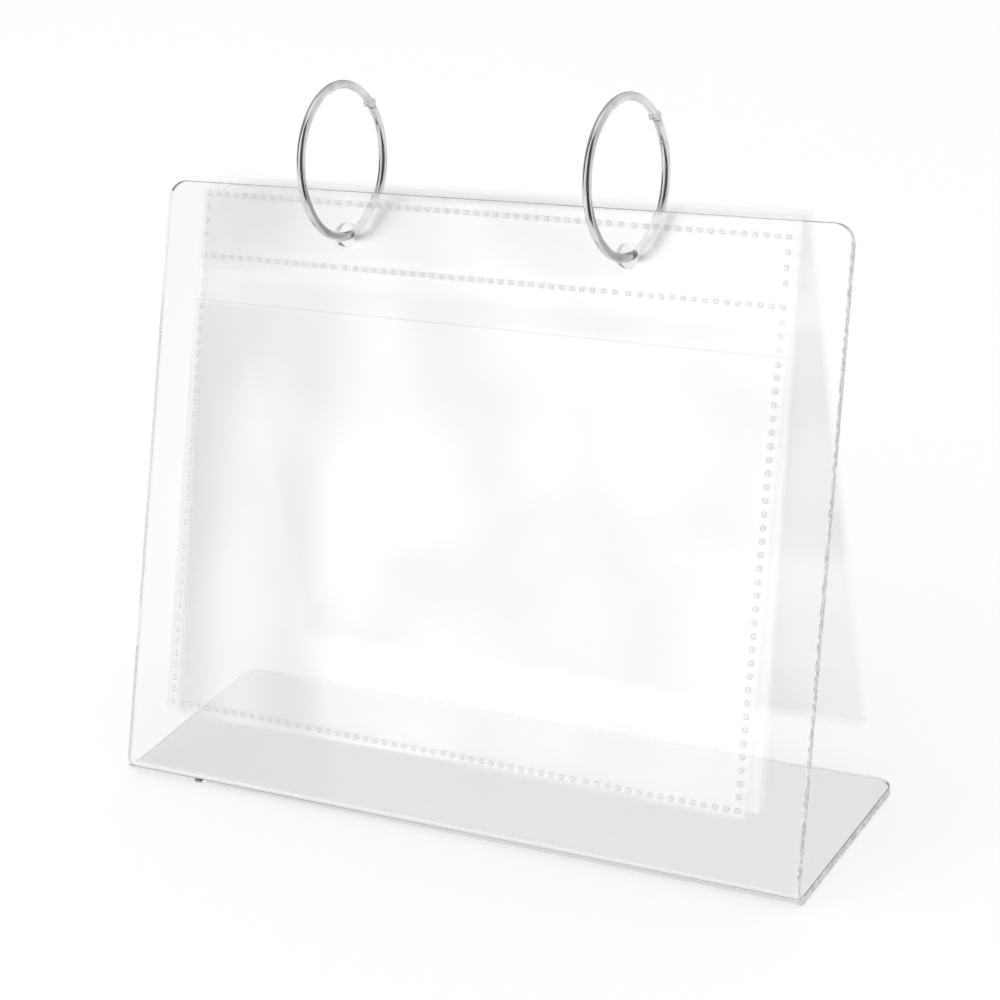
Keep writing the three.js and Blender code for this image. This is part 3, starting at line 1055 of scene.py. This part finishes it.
def makeWorld(look):
    world = bpy.data.worlds.new("studio")
    bpy.context.scene.world = world
    world.use_nodes = True
    world.cycles.sampling_method = "NONE"     # the studio is soft, so surfaces find it by themselves
    tree = world.node_tree
    tree.nodes.clear()
    output = addNode(tree, "ShaderNodeOutputWorld", (900, 0))
    place = addNode(tree, "ShaderNodeTexCoord", (-1500, 0))
    apart = addNode(tree, "ShaderNodeSeparateXYZ", (-1300, 0))
    tree.links.new(place.outputs["Generated"], apart.inputs[0])
    backwards = mathNode(tree, "MULTIPLY", apart.outputs["Y"], -1.0)
    azimuth = mathNode(tree, "MULTIPLY", mathNode(tree, "ARCTAN2", apart.outputs["X"], backwards), 180 / math.pi)
    elevation = mathNode(tree, "MULTIPLY", mathNode(tree, "ARCSINE", apart.outputs["Z"]), 180 / math.pi)
    level = None
    for left, right, low, high, edge, value in look["zones"]:
        zone = useGroup(tree, studioZone, (0, 0), Left=left, Right=right, Low=low, High=high, Edge=edge)
        tree.links.new(azimuth, zone.inputs["Azimuth"])
        tree.links.new(elevation, zone.inputs["Elevation"])
        extra = mathNode(tree, "MULTIPLY", zone.outputs["Mask"], value - look["base"])
        level = extra if level is None else mathNode(tree, "ADD", level, extra)
    level = mathNode(tree, "ADD", level, look["base"])
    low, high, value = look["overhead"]
    over = rangeNode(tree, elevation, low, high)
    level = mathNode(tree, "ADD", mathNode(tree, "MULTIPLY", level, mathNode(tree, "SUBTRACT", 1.0, over)),
                     mathNode(tree, "MULTIPLY", over, value))
    high, low, value = look["horizon"]
    under = rangeNode(tree, elevation, high, low)
    level = mathNode(tree, "ADD", mathNode(tree, "MULTIPLY", level, mathNode(tree, "SUBTRACT", 1.0, under)),
                     mathNode(tree, "MULTIPLY", under, value))
    path = addNode(tree, "ShaderNodeLightPath", (-200, 500))
    dull = path.outputs["Is Diffuse Ray"]
    seen = path.outputs["Is Camera Ray"]
    level = mathNode(tree, "ADD", mathNode(tree, "MULTIPLY", level, mathNode(tree, "SUBTRACT", 1.0, dull)),
                     mathNode(tree, "MULTIPLY", dull, look["plain"]))
    level = mathNode(tree, "ADD", mathNode(tree, "MULTIPLY", level, mathNode(tree, "SUBTRACT", 1.0, seen)), seen)
    sky = addNode(tree, "ShaderNodeBackground", (600, 0))
    setInputs(sky, Color=(1.0, 1.0, 1.0, 1.0))
    tree.links.new(level, sky.inputs["Strength"])
    tree.links.new(sky.outputs[0], output.inputs["Surface"])


def makeFloor(look):
    material, tree, output = newMaterial("paleFloor")
    dull = addNode(tree, "ShaderNodeBsdfDiffuse", (0, 0))
    setInputs(dull, Color=look["floorColour"])
    glow = addNode(tree, "ShaderNodeEmission", (0, 200))
    setInputs(glow, Color=(1.0, 1.0, 1.0, 1.0))
    path = addNode(tree, "ShaderNodeLightPath", (-600, 300))
    seen = mathNode(tree, "ADD", path.outputs["Is Camera Ray"], path.outputs["Is Glossy Ray"], clamp=True)
    seen = mathNode(tree, "ADD", seen, path.outputs["Is Transmission Ray"], clamp=True)
    share = mathNode(tree, "MULTIPLY", seen, look["floorGlow"])
    mix = addNode(tree, "ShaderNodeMixShader", (500, 0))
    tree.links.new(share, mix.inputs[0])
    tree.links.new(dull.outputs[0], mix.inputs[1])
    tree.links.new(glow.outputs[0], mix.inputs[2])
    # what stands in front of the table shows only in the rings
    place = addNode(tree, "ShaderNodeTexCoord", (-1500, -300))
    apart = addNode(tree, "ShaderNodeSeparateXYZ", (-1300, -300))
    tree.links.new(place.outputs["Object"], apart.inputs[0])
    far = addNode(tree, "ShaderNodeVectorMath", (-1300, -500), operation="LENGTH")
    tree.links.new(place.outputs["Object"], far.inputs[0])
    backwards = mathNode(tree, "MULTIPLY", apart.outputs["Y"], -1.0)
    azimuth = mathNode(tree, "MULTIPLY", mathNode(tree, "ARCTAN2", apart.outputs["X"], backwards), 180 / math.pi)
    left, right, near, end, level = look["darkFloor"]
    zone = useGroup(tree, studioZone, (-800, -300), Left=left, Right=right, Low=near, High=end,
                    Edge=look["darkFloorEdge"])
    tree.links.new(azimuth, zone.inputs["Azimuth"])
    tree.links.new(far.outputs["Value"], zone.inputs["Elevation"])
    mirrored = mathNode(tree, "SUBTRACT", path.outputs["Is Glossy Ray"], path.outputs["Is Transmission Ray"],
                        clamp=True)
    dark = addNode(tree, "ShaderNodeEmission", (500, -250))
    setInputs(dark, Color=(1.0, 1.0, 1.0, 1.0), Strength=level)
    patched = addNode(tree, "ShaderNodeMixShader", (700, 0))
    tree.links.new(mathNode(tree, "MULTIPLY", zone.outputs["Mask"], mirrored), patched.inputs[0])
    tree.links.new(mix.outputs[0], patched.inputs[1])
    tree.links.new(dark.outputs[0], patched.inputs[2])
    tree.links.new(patched.outputs[0], output.inputs["Surface"])
    build = bmesh.new()
    reach, drop = look["floorReach"], look["floorDrop"]
    build.faces.new([build.verts.new((x * reach, y * reach, -drop)) for x, y in ((-1, -1), (1, -1), (1, 1), (-1, 1))])
    mesh = bpy.data.meshes.new("floor")
    build.to_mesh(mesh)
    build.free()
    mesh.materials.append(material)
    floor = bpy.data.objects.new("floor", mesh)
    bpy.context.scene.collection.objects.link(floor)


def addLamp(look):
    data = bpy.data.lights.new("key", "AREA")
    data.shape = "DISK"
    data.size = look["size"]
    data.energy = look["energy"]
    lamp = bpy.data.objects.new("key", data)
    bpy.context.scene.collection.objects.link(lamp)
    place = Vector(look["place"])
    lamp.location = place
    lamp.rotation_euler = (Vector(look["aim"]) - place).to_track_quat("-Z", "Y").to_euler()
    lamp.visible_glossy = False
    lamp.visible_transmission = False


makeWorld(studio)
makeFloor(studio)
addLamp(studio["key"])
scene = bpy.context.scene
scene.view_settings.view_transform = "Standard"
scene.cycles.transparent_max_bounces = 96
scene.cycles.max_bounces = 100
scene.cycles.transmission_bounces = 100
scene.cycles.glossy_bounces = 20
print("studio lit")
